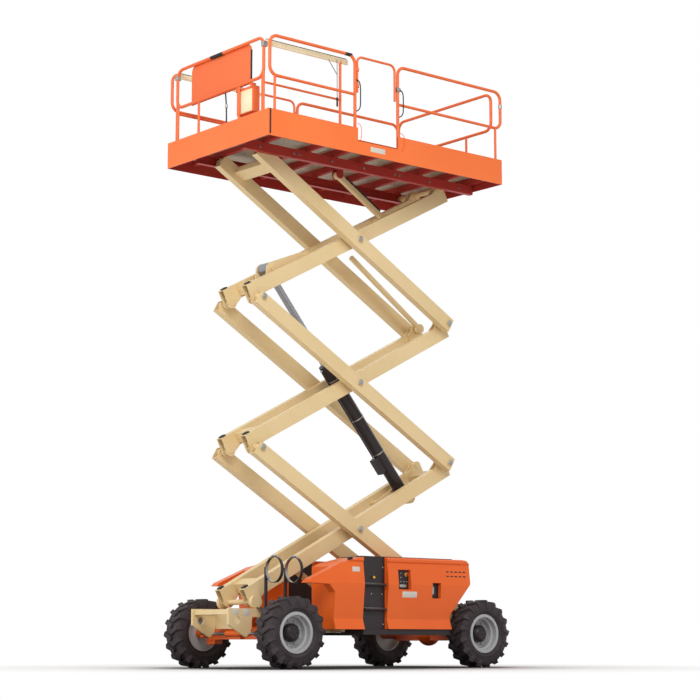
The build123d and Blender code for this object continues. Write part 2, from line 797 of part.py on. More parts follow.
low_outline = [
    (barrel_pin_s - low_heel, -low_root), (barrel_pin_s - low_heel, -low_heel_depth),
    (barrel_pin_s - low_toe, -bracket_drop - low_toe), (barrel_pin_s + low_nose, -bracket_drop),
    (barrel_pin_s + low_nose, -low_root),
]
low_webs = [
    # start s, low n, high n
    (barrel_pin_s - low_web_back, -low_web_depth, -low_web_root),
    (barrel_pin_s - low_heel + web_inset, -low_heel_depth + web_inset, -low_web_root),
]
high_outline = [
    (rod_pin_s - high_toe, high_root), (rod_pin_s - high_head, bracket_drop + high_head_rise),
    (rod_pin_s + high_nose, bracket_drop + high_nose_rise), (rod_pin_s + high_heel, high_heel_rise),
    (rod_pin_s + high_heel, high_heel_root),
]
high_webs = [
    # start s, low n, high n
    (rod_pin_s - bracket_web / 2, high_heel_root, high_web_rise),
    (rod_pin_s + high_heel - bracket_web - web_inset, high_heel_root + web_inset, high_web_rise),
]
pin_end = barrel_eye_gap + bracket_plate + cylinder_pin_stub
low_bracket = [round_z(barrel_pin_s, -bracket_drop, -pin_end, pin_end, cylinder_pin_radius)]
for side in (1, -1):
    low_bracket += bracket_side(low_outline, barrel_pin_s, -bracket_drop, barrel_eye_gap, side, low_webs)
    high_bracket = bracket_side(high_outline, rod_pin_s, bracket_drop, rod_eye_gap, side, high_webs)
    head_near = side * (rod_eye_gap + bracket_plate)
    head_far = side * (rod_eye_gap + bracket_plate + cylinder_pin_stub)
    high_bracket.append(round_z(rod_pin_s, bracket_drop, head_near, head_far, pin_head_radius))
    cross["a3"].append(fuse(high_bracket))
cross["a1"].append(fuse(low_bracket))

# Maintenance prop, folded up beside the right arm of the top stage on a longer pin
prop = block(0, prop_length, -prop_depth / 2, prop_depth / 2, prop_near_y, prop_far_y)
prop += round_z(0, 0, prop_near_y, prop_far_y, lug_radius)
prop = Rot(0, 0, prop_rise) * prop
prop += round_z(0, 0, prop_near_y - part_gap, inner_face - part_gap, pin_radius)
cross["b3"].append(prop)

for stage in (1, 2, 3):
    for letter, arm in (("a", inner_arm()), ("b", outer_arm(stage))):
        place = arm_frame(stage, letter == "a")
        pair = [place * arm, place * mirror(arm, about=Plane.XY)]
        parts[f"arm_{letter}{stage}"] = Compound(children=pair)
for cross_name, pieces in cross.items():
    place = arm_frame(int(cross_name[1]), cross_name[0] == "a")
    solids = [place * piece for piece in pieces]
    parts[f"cross_{cross_name}"] = solids[0] if len(solids) == 1 else Compound(children=solids)


# Centring links: the base one rises forward from mid-chassis, the platform one rises to mid-platform
def centring_link():
    bar = block(0, quarter, -link_depth / 2, link_depth / 2, -link_width / 2, link_width / 2)
    for s in (0, quarter):
        bar += round_z(s, 0, -link_width / 2, link_width / 2, link_eye_radius)
        bar -= round_z(s, 0, -link_width, link_width, link_pin_radius + running_clearance)
    return bar


link_angle = Rot(0, -arm_angle, 0) * Rot(90, 0, 0)
parts["base_link"] = Pos(stack_x, 0, base_pin_z) * link_angle * centring_link()
parts["platform_link"] = Pos(stack_x - arm_run / 4, 0, top_pin_z - arm_rise / 4) * link_angle * centring_link()

# Lift cylinder: barrel on A1's bracket with its valve block, rod reaching A3's bracket
barrel_pin = (arm_frame(1, True) * Pos(barrel_pin_s, -bracket_drop, 0)).position
rod_pin = (arm_frame(3, True) * Pos(rod_pin_s, bracket_drop, 0)).position
reach = rod_pin - barrel_pin
cylinder_axis = Plane(origin=barrel_pin, x_dir=(0, 1, 0), z_dir=reach).location
eye_turn = Rot(0, 90, 0)
barrel = round_z(0, 0, barrel_foot, barrel_length, barrel_radius)
barrel += round_z(0, 0, barrel_length - gland_length, barrel_length, gland_radius)
barrel += block(-valve_half, valve_half, -valve_reach, -barrel_radius / 2, valve_start, valve_end)
barrel -= round_z(0, 0, barrel_foot + barrel_wall, barrel_length - gland_length, barrel_radius - barrel_wall)
barrel -= round_z(0, 0, barrel_foot + barrel_wall, 2 * barrel_length, rod_radius + running_clearance)
barrel += eye_turn * Cylinder(cylinder_eye_radius, barrel_eye_width)
barrel -= eye_turn * Cylinder(cylinder_pin_radius + running_clearance, barrel_eye_width)
parts["lift_barrel"] = cylinder_axis * barrel
rod = round_z(0, 0, reach.length - rod_length, reach.length - barrel_foot, rod_radius)
rod += Pos(0, 0, reach.length) * eye_turn * Cylinder(cylinder_eye_radius, rod_eye_width)
parts["lift_rod"] = cylinder_axis * rod

# Platform underframe: inward channels for the rollers, cross beams, and the link bracket
deck_step_x = extension_back_x - part_gap
deck_low = deck_top - extension_plate - seat_gap
channel_in = outer_arm_y + half_tube + part_gap
channel_out = top_roller_y + roller_width + part_gap / 2
channel_half = platform_roller_radius + seat_gap
channel_top = top_pin_z + channel_half + channel_wall
channel = block(platform_rear_x + skirt_plate, platform_front_x - channel_end, channel_in, channel_out + channel_wall,
                top_pin_z - channel_half - channel_wall, channel_top)
channel -= block(platform_rear_x, platform_front_x, channel_in, channel_out,
                 top_pin_z - channel_half, top_pin_z + channel_half)
underframe = both_sides(channel)
beam_low = channel_top + channel_lift
beam_half_length = platform_half_width - skirt_plate
for x in cross_beam_places:
    rear_x, front_x = x - cross_beam_width / 2, x + cross_beam_width / 2
    beam_high = (deck_top if x < deck_step_x else deck_low) - deck_plate
    underframe.append(block(rear_x, front_x, -beam_half_length, beam_half_length, beam_low, beam_high))
    for side in (1, -1):
        underframe.append(block(rear_x, front_x, side * channel_in, side * (channel_out + channel_wall),
                                channel_top - channel_wall, beam_low + channel_wall))
for side in (1, -1):
    near_y = side * link_ear_y
    far_y = side * (link_ear_y + link_ear)
    underframe.append(block(stack_x - platform_roller_radius, stack_x + platform_roller_radius, near_y, far_y,
                            top_pin_z, beam_low))
    underframe.append(round_y(stack_x, top_pin_z, near_y, far_y, platform_roller_radius))
underframe.append(round_y(stack_x, top_pin_z, -link_ear_y - weld_lap, link_ear_y + weld_lap, link_pin_radius))
parts["platform_frame"] = fuse(underframe)

# Deck: stepped down in front, where the extension's deck lies flush on it
deck = block(platform_rear_x + deck_margin, deck_step_x, -deck_half, deck_half, deck_top - deck_plate, deck_top)
deck += block(deck_step_x - deck_plate, deck_step_x, -deck_half, deck_half, deck_low - deck_plate, deck_top)
deck += block(deck_step_x - deck_plate, platform_front_x - channel_end, -deck_half, deck_half,
              deck_low - deck_plate, deck_low)
parts["deck_plate"] = deck

# Skirt: outer plates with an inner flange at deck height that carries the posts
skirt_front_x = platform_front_x - skirt_plate - part_gap / 2
skirt_in = platform_half_width - skirt_plate
flange_in = deck_half + part_gap / 2
side_skirt = block(platform_rear_x, skirt_front_x, skirt_in, platform_half_width, skirt_bottom, skirt_top)
gate_cut = block(gate_rear_x, gate_front_x, skirt_in, platform_half_width, skirt_bottom + gate_sill, skirt_top)
flange = block(platform_rear_x, skirt_front_x, flange_in, platform_half_width, deck_top - deck_plate, deck_top)
rear_skirt = block(platform_rear_x, platform_rear_x + skirt_plate, -platform_half_width, platform_half_width,
                   skirt_bottom, skirt_top)
rear_flange = block(platform_rear_x, platform_rear_x + deck_margin - part_gap / 2, -platform_half_width,
                    platform_half_width, deck_top - deck_plate, deck_top)
left_skirt = (side_skirt - gate_cut).fuse(flange)
right_skirt = mirror(side_skirt.fuse(flange), about=Plane.XZ)
parts["platform_skirt"] = left_skirt.fuse(right_skirt, rear_skirt, rear_flange)

# Guard rails: each bay turns from a gate post along the top, round its far end and back as the mid rail
rail_y = platform_half_width - rail_inset


def bay(post_x, far_x, low_post_x, y):
    inward = 1 if post_x > far_x else -1
    stub_x = far_x + inward * (rail_corner + rail_stub)
    hoop = bent_tube([(post_x, y, deck_top), (post_x, y, rail_top), (far_x, y, rail_top), (far_x, y, mid_rail),
                      (stub_x, y, mid_rail)], tube_radius, rail_corner)
    middle = round_x(y, mid_rail, stub_x - inward * tube_radius, post_x, mid_tube)
    return hoop.fuse(middle, round_z(low_post_x, y, deck_top, mid_rail, post_tube))


def end_rail(x, half_width, post_places):
    """A closed loop of top and mid rail across the platform, on short posts."""
    half_loop = bent_tube([(x, 0, mid_rail), (x, half_width, mid_rail), (x, half_width, rail_top), (x, 0, rail_top)],
                          tube_radius, rail_corner)
    posts = [round_z(x, y, deck_top, mid_rail, post_tube) for y in post_places]
    return half_loop.fuse(mirror(half_loop, about=Plane.XZ), *posts)


def gate_hoop(y):
    return bent_tube([(hinge_x, y, gate_low), (hinge_x, y, rail_top), (latch_x, y, rail_top), (latch_x, y, gate_low)],
                     gate_tube, gate_corner)


front_gate_post = gate_front_x + tube_radius + gate_post_gap
rear_gate_post = gate_rear_x - tube_radius - gate_post_gap
hinge_x = gate_front_x - gate_hinge_inset
latch_x = gate_rear_x + gate_latch_inset
gate_low = mid_rail + gate_leg_rise
left_front = bay(front_gate_post, rail_front_x, front_low_post_x, rail_y)
left_rear = bay(rear_gate_post, rail_rear_x, rear_low_post_x, rail_y)
right_rail = mirror(left_front.fuse(left_rear), about=Plane.XZ).fuse(gate_hoop(-rail_y))
for collar_z in (gate_low + collar_low, rail_top - collar_high):
    collar_top = collar_z + collar_height
    collar = round_z(hinge_x, rail_y, collar_z, collar_top, gate_tube + collar_wall)
    collar += block(hinge_x, front_gate_post, rail_y - collar_half, rail_y + collar_half, collar_z, collar_top)
    collar -= round_z(hinge_x, rail_y, collar_z, collar_top, gate_tube + running_clearance)
    left_front += collar
    for stile_x, post_x in ((hinge_x, front_gate_post), (latch_x, rear_gate_post)):
        right_rail += block(stile_x, post_x, -rail_y - collar_half, -rail_y + collar_half, collar_z, collar_top)
parts["rail_left"] = Compound(children=[left_front, left_rear])
parts["rail_right"] = right_rail
parts["rail_rear"] = end_rail(back_rail_x, back_rail_half, (-back_post_y, back_post_y))
parts["gate"] = gate_hoop(rail_y)

# Roll-out extension: deck with its front skirt, front rails, side strips, guard plate and controls
ext_low = deck_low + seat_gap
ext_deck = block(extension_back_x, platform_front_x, -extension_half, extension_half, ext_low, deck_top)
ext_deck += block(platform_front_x - skirt_plate, platform_front_x, -platform_half_width, platform_half_width,
                  skirt_bottom, skirt_top)
parts["extension_deck"] = ext_deck
ext_front_x = platform_front_x - skirt_plate - tube_radius - part_gap / 2
front_rails = end_rail(ext_front_x, front_rail_half, front_post_y)
strip_z = rail_top - strip_drop
low_strip_z = mid_rail - strip_drop
for side in (1, -1):
    y = side * front_rail_half
    front_rails += block(back_post_x, ext_front_x, y - strip_thickness / 2, y + strip_thickness / 2,
                         strip_z - strip_height / 2, strip_z + strip_height / 2)
    front_rails += round_z(back_post_x, y, deck_top, strip_z, side_tube)
    front_rails += round_x(y, low_strip_z, back_post_x, ext_front_x, low_side_tube)
    front_rails += round_z(ext_front_x, y, deck_top, mid_rail + rail_corner, post_tube)
parts["extension_rails"] = front_rails
guard_x = ext_front_x - tube_radius
guard = block(guard_x - guard_thickness, guard_x, -guard_half_width, guard_half_width, mid_rail - tube_radius, rail_top)
parts["guard_plate"] = fillet(guard.edges().filter_by(Axis.X).group_by(Axis.Z)[-1], guard_corner)
control_top = mid_rail - tube_radius
control = block(guard_x - control_depth, guard_x, *control_y, control_top - control_strap_drop - control_height,
                control_top - control_strap_drop)
for strap_y in (control_y[0], control_y[1] - control_strap):
    control += block(guard_x - control_strap, ext_front_x, strap_y, strap_y + control_strap,
                     control_top - 2 * control_strap_drop, control_top)
parts["control_box"] = control

os.makedirs("parts", exist_ok=True)
for part_name, shape in parts.items():
    export_step(shape, f"parts/{part_name}.step")
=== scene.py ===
import bmesh
import bpy
import json
from math import atan2, cos, pi, radians, sin
from mathutils import Matrix, Vector


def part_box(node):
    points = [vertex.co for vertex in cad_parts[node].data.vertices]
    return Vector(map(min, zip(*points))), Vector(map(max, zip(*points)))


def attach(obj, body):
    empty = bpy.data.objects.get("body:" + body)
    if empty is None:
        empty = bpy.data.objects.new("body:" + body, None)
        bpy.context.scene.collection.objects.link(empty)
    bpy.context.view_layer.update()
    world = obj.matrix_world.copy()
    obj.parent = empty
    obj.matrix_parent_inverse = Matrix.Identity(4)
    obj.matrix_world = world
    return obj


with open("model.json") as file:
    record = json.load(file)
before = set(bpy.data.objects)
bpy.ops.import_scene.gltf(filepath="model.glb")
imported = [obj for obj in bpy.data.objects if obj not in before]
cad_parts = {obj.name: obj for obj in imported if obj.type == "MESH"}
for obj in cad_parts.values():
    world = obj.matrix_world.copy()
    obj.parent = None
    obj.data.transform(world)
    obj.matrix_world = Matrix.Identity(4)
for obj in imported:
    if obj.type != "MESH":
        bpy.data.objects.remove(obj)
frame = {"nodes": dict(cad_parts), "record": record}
nodes = frame["nodes"]
joints = {joint["name"]: joint for joint in frame["record"]["behaviour"]["joints"]}
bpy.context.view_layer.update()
mm = 0.001
print("frame loaded:", len(nodes), "pieces")


def srgb(code):
    channels = [int(code[i:i + 2], 16) / 255 for i in (1, 3, 5)]
    return tuple(c / 12.92 if c <= 0.04045 else ((c + 0.055) / 1.055) ** 2.4 for c in channels) + (1.0,)


def addNode(tree, kind, settings=None, links=None):
    node = tree.nodes.new(kind)
    for key, value in (settings or {}).items():
        if isinstance(key, str) and hasattr(node, key):
            setattr(node, key, value)
        else:
            node.inputs[key].default_value = value
    for socket, source in (links or {}).items():
        tree.links.new(source, node.inputs[socket])
    return node


def newMaterial(name):
    material = bpy.data.materials.new(name)
    material.use_nodes = True
    tree = material.node_tree
    tree.nodes.clear()
    coords = addNode(tree, "ShaderNodeTexCoord").outputs["Object"]
    return material, tree, coords


def endMaterial(tree, settings, links):
    shader = addNode(tree, "ShaderNodeBsdfPrincipled", settings, links)
    addNode(tree, "ShaderNodeOutputMaterial", None, {"Surface": shader.outputs["BSDF"]})


def dress(material, *names):
    for name in names:
        nodes[name].data.materials.clear()
        nodes[name].data.materials.append(material)


# sprayed enamel on steel: even colour that drifts a little over a panel, faint orange peel, soft corners
paint = {"drift": 900 * mm, "deepAt": 0.25, "shadeAt": 0.70, "glossier": 0.05, "duller": 0.07,
         "peel": 22 * mm, "peelStrength": 0.02, "peelHeight": 1 * mm,   # drawn coarse so that it shows
         "corner": 4 * mm,
         "level": (1, 1, 0), "upward": (0, 0, 3)}   # away from the machine's middle line, and up; faces turned against it get painted shade


def enamel(name, shade, deep, roughness, coat=0.05, insideShade=None):
    material, tree, coords = newMaterial(name)
    drift = addNode(tree, "ShaderNodeTexNoise",
                    {"Scale": 1 / paint["drift"], "Detail": 3.0, "Roughness": 0.5}, {"Vector": coords})
    tone = addNode(tree, "ShaderNodeValToRGB", None, {"Fac": drift.outputs["Fac"]})
    tone.color_ramp.elements[0].position = paint["deepAt"]
    tone.color_ramp.elements[0].color = srgb(deep)
    tone.color_ramp.elements[1].position = paint["shadeAt"]
    tone.color_ramp.elements[1].color = srgb(shade)
    colour = tone.outputs["Color"]
    if insideShade:
        # painted shade: faces that look towards the middle or down carry a darker red colour
        facing = addNode(tree, "ShaderNodeTexCoord").outputs["Normal"]
        outward = addNode(tree, "ShaderNodeVectorMath",
                          {"operation": "MULTIPLY_ADD", 1: paint["level"], 2: paint["upward"]}, {0: coords})
        dot = addNode(tree, "ShaderNodeVectorMath", {"operation": "DOT_PRODUCT"},
                      {0: outward.outputs["Vector"], 1: facing})
        shadedFaces = addNode(tree, "ShaderNodeMath", {"operation": "LESS_THAN", 1: 0.0},
                         {0: dot.outputs["Value"]})
        both = addNode(tree, "ShaderNodeMix", {"data_type": "RGBA", 7: srgb(insideShade)},
                       {0: shadedFaces.outputs["Value"], 6: colour})
        colour = both.outputs[2]
    peel = addNode(tree, "ShaderNodeTexNoise", {"Scale": 1 / paint["peel"], "Detail": 1.0},
                   {"Vector": coords})
    gloss = addNode(tree, "ShaderNodeMapRange",
                    {"To Min": roughness - paint["glossier"], "To Max": roughness + paint["duller"]},
                    {"Value": drift.outputs["Fac"]})
    corner = addNode(tree, "ShaderNodeBevel", {"samples": 4, "Radius": paint["corner"]})
    bump = addNode(tree, "ShaderNodeBump",
                   {"Strength": paint["peelStrength"], "Distance": paint["peelHeight"]},
                   {"Height": peel.outputs["Fac"], "Normal": corner.outputs["Normal"]})
    endMaterial(tree, {"IOR": 1.45, "Specular IOR Level": 0.35, "Coat Weight": coat, "Coat Roughness": 0.15},
                {"Base Color": colour, "Roughness": gloss.outputs["Result"],
                 "Normal": bump.outputs["Normal"]})
    return material


creamEnamel = enamel("creamEnamel", "#E9CF9E", "#DFC490", 0.46)           # lift arms and frame, satin
orangeEnamel = enamel("orangeEnamel", "#F0691F", "#EA6018", 0.36, 0.12)   # covers and axles, glossy
railEnamel = enamel("railEnamel", "#F2743B", "#EC6A31", 0.4, 0.08)        # rails, gate and guard
skirtEnamel = enamel("skirtEnamel", "#FA7C3C", "#F57433", 0.42, 0.08, "#A8342B")   # skirt, with painted shade in red on its inner and lower faces
paintedShadeRed = enamel("paintedShadeRed", "#B4382E", "#A02E26", 0.5)                # platform underframe, in shade: its orange paint drawn as a deeper red, painted shade
blackEnamel = enamel("blackEnamel", "#2E2528", "#241D20", 0.4)            # ladder panels, cylinder barrel
silverEnamel = enamel("silverEnamel", "#B7B7B7", "#A9A9A9", 0.34, 0.1)    # wheel rims


# bright metal, ground or plated: a fine grain that dulls the shine in spots
def brightMetal(name, shade, deep, smooth, rough, grain):
    material, tree, coords = newMaterial(name)
    grind = addNode(tree, "ShaderNodeTexNoise", {"Scale": 1 / grain, "Detail": 3.0}, {"Vector": coords})
    tone = addNode(tree, "ShaderNodeValToRGB", None, {"Fac": grind.outputs["Fac"]})
    tone.color_ramp.elements[0].color = srgb(deep)
    tone.color_ramp.elements[1].color = srgb(shade)
    polish = addNode(tree, "ShaderNodeMapRange", {"To Min": smooth, "To Max": rough},
                     {"Value": grind.outputs["Fac"]})
    endMaterial(tree, {"Metallic": 1.0},
                {"Base Color": tone.outputs["Color"], "Roughness": polish.outputs["Result"]})
    return material


hardChrome = brightMetal("hardChrome", "#A4A4A8", "#85858B", 0.26, 0.38, 30 * mm)   # lift rod, tie rod
zincSteel = brightMetal("zincSteel", "#B4B4B0", "#8A8A88", 0.32, 0.5, 12 * mm)      # bolts, latches, liners

# moulded rubber or plastic: one colour with a dusty second shade, finely pitted
mould = {"deepAt": 0.35, "shadeAt": 0.75, "pitHeight": 1 * mm}


def mouldedMaterial(name, shade, deep, roughness, dust, pit, depth):
    material, tree, coords = newMaterial(name)
    cloud = addNode(tree, "ShaderNodeTexNoise", {"Scale": 1 / dust, "Detail": 6.0, "Roughness": 0.65},
                    {"Vector": coords})
    tone = addNode(tree, "ShaderNodeValToRGB", None, {"Fac": cloud.outputs["Fac"]})
    tone.color_ramp.elements[0].position = mould["deepAt"]
    tone.color_ramp.elements[0].color = srgb(deep)
    tone.color_ramp.elements[1].position = mould["shadeAt"]
    tone.color_ramp.elements[1].color = srgb(shade)
    pits = addNode(tree, "ShaderNodeTexNoise", {"Scale": 1 / pit, "Detail": 3.0}, {"Vector": coords})
    bump = addNode(tree, "ShaderNodeBump", {"Strength": depth, "Distance": mould["pitHeight"]},
                   {"Height": pits.outputs["Fac"]})
    endMaterial(tree, {"Roughness": roughness, "IOR": 1.5, "Specular IOR Level": 0.35},
                {"Base Color": tone.outputs["Color"], "Normal": bump.outputs["Normal"]})
    return material


tyreRubber = mouldedMaterial("tyreRubber", "#463D3F", "#322A2C", 0.72, 120 * mm, 6 * mm, 0.25)
# grips, panels and cables
moulding = mouldedMaterial("blackMoulding", "#2C2628", "#201B1D", 0.55, 60 * mm, 4 * mm, 0.12)
# stop buttons and their collars
redMoulding = mouldedMaterial("redMoulding", "#C8261C", "#B01E16", 0.35, 40 * mm, 3 * mm, 0.05)
yellowMoulding = mouldedMaterial("yellowMoulding", "#E8B92A", "#D8A81E", 0.4, 40 * mm, 3 * mm, 0.05)
# slide covers, and bare plates
creamMoulding = mouldedMaterial("creamMoulding", "#F7EDCB", "#EEDFB2", 0.5, 200 * mm, 8 * mm, 0.05)
plateSheet = mouldedMaterial("plateSheet", "#DDD8CC", "#D0CABD", 0.45, 80 * mm, 5 * mm, 0.03)

# galvanised deck sheet: grey-tan, crystal flakes in the zinc, pressed with rows of raised grip dots
deckSheet = {"flake": 35 * mm, "dull": "#A2937E", "bright": "#C4B49B",
             "dotPitch": 60 * mm, "dotTop": 0.22, "dotFoot": 0.30, "dotHeight": 3 * mm}


def deckMaterial():
    material, tree, coords = newMaterial("galvanisedSheet")
    flakes = addNode(tree, "ShaderNodeTexVoronoi", {"Scale": 1 / deckSheet["flake"]}, {"Vector": coords})
    tone = addNode(tree, "ShaderNodeValToRGB", None, {"Fac": flakes.outputs["Color"]})
    tone.color_ramp.elements[0].color = srgb(deckSheet["dull"])
    tone.color_ramp.elements[1].color = srgb(deckSheet["bright"])
    dots = addNode(tree, "ShaderNodeTexVoronoi", {"Scale": 1 / deckSheet["dotPitch"], "Randomness": 0.0},
                   {"Vector": coords})
    raised = addNode(tree, "ShaderNodeMapRange",
                     {"From Min": deckSheet["dotTop"], "From Max": deckSheet["dotFoot"], "To Min": 1.0,
                      "To Max": 0.0},
                     {"Value": dots.outputs["Distance"]})
    bump = addNode(tree, "ShaderNodeBump", {"Strength": 0.5, "Distance": deckSheet["dotHeight"]},
                   {"Height": raised.outputs["Result"]})
    endMaterial(tree, {"Metallic": 0.35, "Roughness": 0.5},
                {"Base Color": tone.outputs["Color"], "Normal": bump.outputs["Normal"]})
    return material


galvanisedSheet = deckMaterial()

stages = (1, 2, 3)
wheelNames = ("front_left", "front_right", "rear_left", "rear_right")
arms = [f"arm_{row}{stage}" for row in "ab" for stage in stages]
crosses = [name for name in nodes if name.startswith("cross_")]
dress(creamEnamel, "chassis_frame", "base_link", "platform_link", *arms, *crosses)
dress(orangeEnamel, "front_axle", "rear_axle", "cover_front_left", "cover_front_right", "side_box_left",
      "side_box_right", "door_left", "door_right", "knuckle_left", "knuckle_right")
dress(railEnamel, "rail_left", "rail_right", "rail_rear", "gate", "extension_rails", "guard_plate",
      "control_box")
dress(skirtEnamel, "platform_skirt", "extension_deck")
dress(paintedShadeRed, "platform_frame")
dress(galvanisedSheet, "deck_plate")
dress(blackEnamel, "ladder_left", "ladder_right", "bottle_cradle", "engine_block", "lift_barrel")
dress(hardChrome, "lift_rod", "tie_rod")
dress(tyreRubber, *[f"tyre_{wheel}" for wheel in wheelNames])
dress(silverEnamel, *[f"rim_{wheel}" for wheel in wheelNames])
print("finishes on the frame")


def middle(name):
    low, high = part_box(name)
    return (Vector(low) + Vector(high)) / 2


def stand(place, axis):
    return Matrix.Translation(place) @ Vector(axis).to_track_quat("Z", "Y").to_matrix().to_4x4()


# y counts outwards from the machine's middle line
def facingOut(x, y, z, side=1):
    return stand((x, side * y, z), (0, side, 0))


mergeDistance = 0.01 * mm


def putInto(shape, detail, place):
    bmesh.ops.remove_doubles(detail, verts=detail.verts, dist=mergeDistance)
    bmesh.ops.recalc_face_normals(detail, faces=detail.faces)
    bmesh.ops.transform(detail, matrix=place, verts=detail.verts)
    carrier = bpy.data.meshes.new("carrier")
    detail.to_mesh(carrier)
    detail.free()
    shape.from_mesh(carrier)
    bpy.data.meshes.remove(carrier)


def addBlock(shape, low, high, edge, turn=None):
    low, high = Vector(low), Vector(high)
    detail = bmesh.new()
    bmesh.ops.create_cube(detail, size=1)
    bmesh.ops.scale(detail, vec=high - low, verts=detail.verts)
    bmesh.ops.bevel(detail, geom=detail.edges[:], offset=edge, segments=2, affect="EDGES", profile=0.5,
                    material=-1)
    putInto(shape, detail, Matrix.Translation((low + high) / 2) @ (turn or Matrix()))


# the same block on the left, or mirrored on the right
def addSideBlock(shape, corners, side, edge):
    low, high = corners
    ySpan = sorted((side * low[1], side * high[1]))
    addBlock(shape, (low[0], ySpan[0], low[2]), (high[0], ySpan[1], high[2]), edge)


turnSides = {"hexagon": 6, "screw": 12, "switch": 16, "grip": 20, "pin": 28, "band": 40, "hub": 48,
             "tyre": 72}


# profile: radius and height pairs in mm, turned about the place's own z
def addTurned(shape, profile, place, sides=turnSides["pin"]):
    detail = bmesh.new()
    corners = [detail.verts.new((radius * mm, 0, height * mm)) for radius, height in profile]
    edges = [detail.edges.new(pair) for pair in zip(corners, corners[1:])]
    bmesh.ops.spin(detail, geom=corners + edges, cent=(0, 0, 0), axis=(0, 0, 1), angle=2 * pi, steps=sides,
                   use_merge=True)
    putInto(shape, detail, place)


def addBar(shape, points, radius):
    line = bpy.data.curves.new("barLine", "CURVE")
    line.dimensions = "3D"
    line.bevel_depth = radius
    line.bevel_resolution = 3
    line.resolution_u = 8
    line.use_fill_caps = True
    spline = line.splines.new("NURBS")
    spline.points.add(len(points) - 1)
    for point, place in zip(spline.points, points):
        point.co = (*place, 1)
    spline.order_u = min(3, len(points))
    spline.use_endpoint_u = True
    holder = bpy.data.objects.new("barLine", line)
    carrier = bpy.data.meshes.new_from_object(holder)
    shape.from_mesh(carrier)
    bpy.data.objects.remove(holder)
    bpy.data.curves.remove(line)
    bpy.data.meshes.remove(carrier)


sharpFrom = radians(35)


def addPiece(name, shape, material, body):
    mesh = bpy.data.meshes.new(name)
    shape.to_mesh(mesh)
    shape.free()
    mesh.materials.append(material)
    mesh.shade_smooth()
    mesh.set_sharp_from_angle(angle=sharpFrom)
    piece = bpy.data.objects.new(name, mesh)
    bpy.context.scene.collection.objects.link(piece)
    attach(piece, body)


# planetary hub cover with its bolts, and the moulded rings on the tyre walls
hub = {"cover": [(0, 80), (73, 80), (86.5, 66.5), (107, 38.5), (107, -11)],
       "plug": [(0, 86), (16, 86), (20, 83), (20, 78)],
       "bolt": [(0, 87), (8, 87), (9, 85), (9, 78)], "boltCircle": 54 * mm, "bolts": 6}
wallRings = ([(283, 143), (284, 148), (288, 148), (289, 143), (283, 143)],
             [(306, 141), (307, 146), (310, 146), (311, 141), (306, 141)])
for wheel in wheelNames:
    outward = stand(middle(f"tyre_{wheel}"), (0, 1 if wheel.endswith("left") else -1, 0))
    hubCover = bmesh.new()
    addTurned(hubCover, hub["cover"], outward, turnSides["hub"])
    addPiece(f"hubCover_{wheel}", hubCover, blackEnamel, f"wheel_{wheel}")
    hubBolts = bmesh.new()
    addTurned(hubBolts, hub["plug"], outward)
    for turn in range(hub["bolts"]):
        angle = 2 * pi * turn / hub["bolts"]
        offset = Matrix.Translation((hub["boltCircle"] * cos(angle), hub["boltCircle"] * sin(angle), 0))
        addTurned(hubBolts, hub["bolt"], outward @ offset, turnSides["hexagon"])
    addPiece(f"hubBolts_{wheel}", hubBolts, blackEnamel, f"wheel_{wheel}")
    rings = bmesh.new()
    for profile in wallRings:
        addTurned(rings, profile, outward, turnSides["tyre"])
        addTurned(rings, [(radius, -height) for radius, height in profile], outward, turnSides["tyre"])
    addPiece(f"wallRings_{wheel}", rings, tyreRubber, f"wheel_{wheel}")
print("hub covers on the wheels")

# pin retainers on the outer arms: one at the middle, and one at each end that joins another arm
midPins = {stage: Vector(joints[f"b{stage}_fold"]["pos_m"]) for stage in stages}
halfArm = Vector(joints["a2_fold"]["pos_m"]) - midPins[1]
retainer = {"profile": [(0, 15), (12, 15), (15, 12), (15, 8), (33, 7), (37, 4), (37, -1)], "face": 460 * mm}
for stage, pin in midPins.items():
    spots = [pin]
    if stage > stages[0]:
        spots.append(pin - halfArm)
    if stage < stages[-1]:
        spots.append(pin + halfArm)
    retainers = bmesh.new()
    for spot in spots:
        for side in (1, -1):
            addTurned(retainers, retainer["profile"], facingOut(spot.x, retainer["face"], spot.z, side))
    addPiece(f"pinRetainers_b{stage}", retainers, zincSteel, f"arm_b{stage}")

# black bump stops on the low ends of the inner arms
bumpStop = {"low": (-32 * mm, -34 * mm, 190 * mm), "high": (42 * mm, 34 * mm, 213 * mm), "edge": 9 * mm,
            "across": 240 * mm}
innerAlong = Vector((-halfArm.x, 0, halfArm.z)).normalized()
innerUp = Vector((innerAlong.z, 0, -innerAlong.x))
innerTurn = Matrix((innerAlong, (0, -1, 0), innerUp)).transposed().to_4x4()
for stage, pin in midPins.items():
    lowPin = pin - innerAlong * halfArm.length
    stops = bmesh.new()
    for side in (1, -1):
        spot = lowPin + Vector((0, side * bumpStop["across"], 0))
        block = bmesh.new()
        addBlock(block, bumpStop["low"], bumpStop["high"], bumpStop["edge"])
        putInto(stops, block, Matrix.Translation(spot) @ innerTurn)
    addPiece(f"bumpStops_a{stage}", stops, moulding, f"arm_a{stage}")
print("pin retainers and bump stops on the arms")

# lift cylinder: steel bands, and a hard pipe from the valve block to the gland
# places on it are metres along the barrel from its pin, and metres out at its front
barrelPin = Vector(joints["barrel_swing"]["pos_m"])
cylinder = {"along": Vector((0.638, 0, 0.770)), "front": Vector((0.770, 0, -0.638)),
            "band": [(82.5, -8), (87, -8), (87, 8), (82.5, 8), (82.5, -8)], "bandsAt": (0.721, 1.259, 1.86),
            "pipe": [(0.66, 0.105), (0.72, 0.105), (1.88, 0.105), (1.985, 0.105), (2.03, 0.105),
                     (2.045, 0.084)], "pipeRadius": 9 * mm,
            "union": [(0, 26), (13, 26), (15, 22), (15, 0), (0, 0)],
            "unionsAt": ((0.69, 0.105, "along"), (2.045, 0.086, "front"))}


def onCylinder(along, front):
    return barrelPin + cylinder["along"] * along + cylinder["front"] * front


